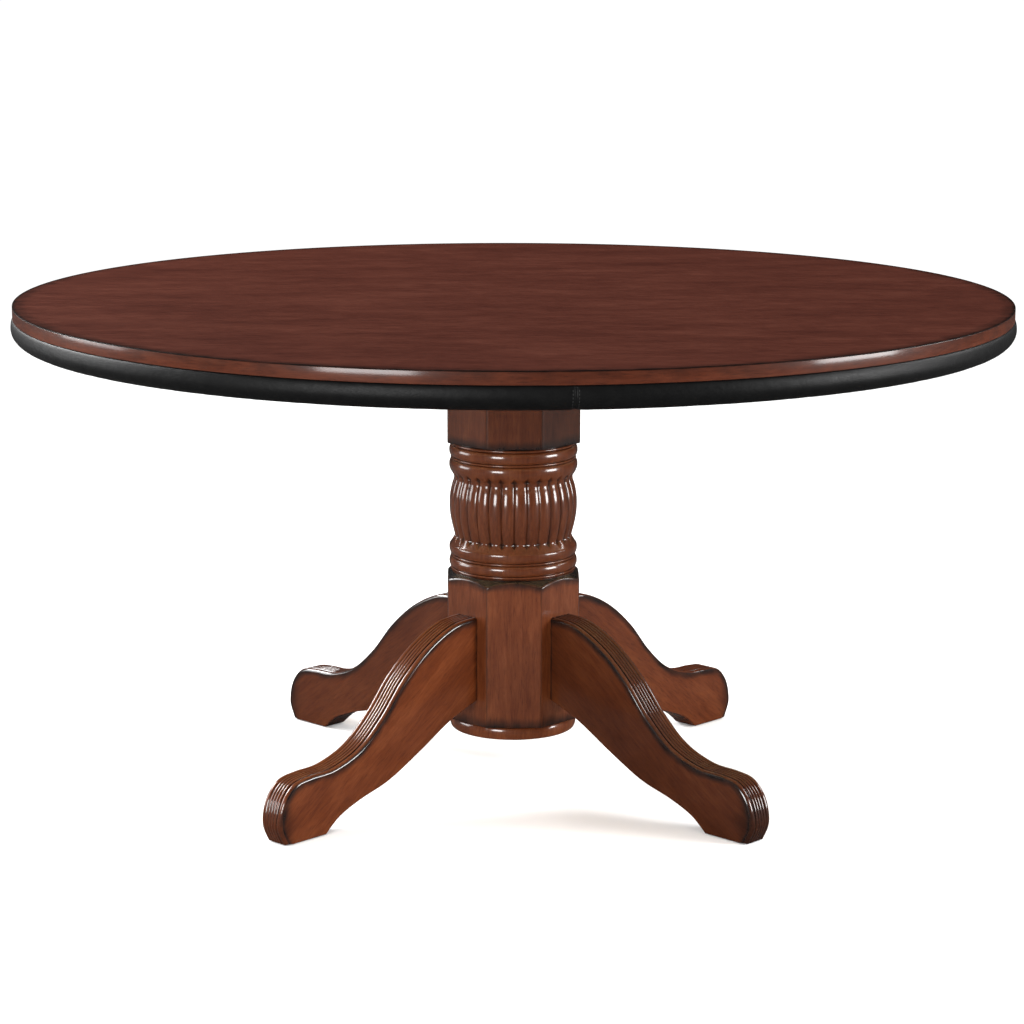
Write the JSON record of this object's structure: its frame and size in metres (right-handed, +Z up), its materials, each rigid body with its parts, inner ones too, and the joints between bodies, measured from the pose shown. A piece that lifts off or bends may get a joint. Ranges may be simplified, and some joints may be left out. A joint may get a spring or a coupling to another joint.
{
  "type": "gaming table",
  "caption": "Round pedestal gaming table: padded armrest round a cloth playing well, lift-off wooden dining top, turned and reeded column on scrolled legs.",
  "frame": {"origin": "on the floor, on the pedestal's axis", "axes": "+Z up along the pedestal, +X to the right and -Y towards the viewer, with the legs on the diagonals"},
  "size_m": [1.524, 1.524, 0.762],
  "materials": {
    "top_veneer": "satin lacquer over red-brown stained veneer",
    "edge_band_wood": "semi-gloss lacquered hardwood lipping",
    "stained_wood": "semi-gloss brown stain with near-black glaze in the recesses",
    "core_board": "raw fibreboard",
    "plywood": "raw birch plywood",
    "armrest_vinyl": "fine-grained black vinyl, satin",
    "foam": "open-cell upholstery foam",
    "playing_cloth": "napped speed cloth",
    "zinc_steel": "zinc-plated",
    "nylon": "moulded nylon"
  },
  "bodies": {
    "base_table": {"armrest_core": "plywood", "armrest_foam": "foam", "armrest_vinyl": "armrest_vinyl", "deck_batten_front": "plywood", "deck_batten_rear": "plywood", "foot_glide_front_left": "nylon", "foot_glide_front_right": "nylon", "foot_glide_rear_left": "nylon", "foot_glide_rear_right": "nylon", "game_top_deck": "core_board", "leg_bolt_front_left_lower": "zinc_steel", "leg_bolt_front_left_upper": "zinc_steel", "leg_bolt_front_right_lower": "zinc_steel", "leg_bolt_front_right_upper": "zinc_steel", "leg_bolt_rear_left_lower": "zinc_steel", "leg_bolt_rear_left_upper": "zinc_steel", "leg_bolt_rear_right_lower": "zinc_steel", "leg_bolt_rear_right_upper": "zinc_steel", "leg_front_left": "stained_wood", "leg_front_right": "stained_wood", "leg_nut_front_left_lower": "zinc_steel", "leg_nut_front_left_upper": "zinc_steel", "leg_nut_front_right_lower": "zinc_steel", "leg_nut_front_right_upper": "zinc_steel", "leg_nut_rear_left_lower": "zinc_steel", "leg_nut_rear_left_upper": "zinc_steel", "leg_nut_rear_right_lower": "zinc_steel", "leg_nut_rear_right_upper": "zinc_steel", "leg_rear_left": "stained_wood", "leg_rear_right": "stained_wood", "mounting_bolt_1": "zinc_steel", "mounting_bolt_2": "zinc_steel", "mounting_bolt_3": "zinc_steel", "mounting_bolt_4": "zinc_steel", "mounting_plate": "plywood", "pedestal_stave_1": "stained_wood", "pedestal_stave_2": "stained_wood", "pedestal_stave_3": "stained_wood", "pedestal_stave_4": "stained_wood", "pedestal_stave_5": "stained_wood", "pedestal_stave_6": "stained_wood", "pedestal_stave_7": "stained_wood", "pedestal_stave_8": "stained_wood", "pedestal_top_plug": "plywood", "playing_cloth": "playing_cloth", "playing_foam": "foam"},
    "dining_top": {"cleat_screw_1": "zinc_steel", "cleat_screw_2": "zinc_steel", "cleat_screw_3": "zinc_steel", "cleat_screw_4": "zinc_steel", "dining_top_core": "core_board", "dining_top_edge_band": "edge_band_wood", "dining_top_veneer": "top_veneer", "locating_cleat_1": "plywood", "locating_cleat_2": "plywood", "locating_cleat_3": "plywood", "locating_cleat_4": "plywood"}
  },
  "joints": [
    {"name": "dining_top_lift", "type": "slide", "parent": "base_table", "child": "dining_top", "axis": [0, 0, 1], "range_m": [0, 0.15]}
  ]
}
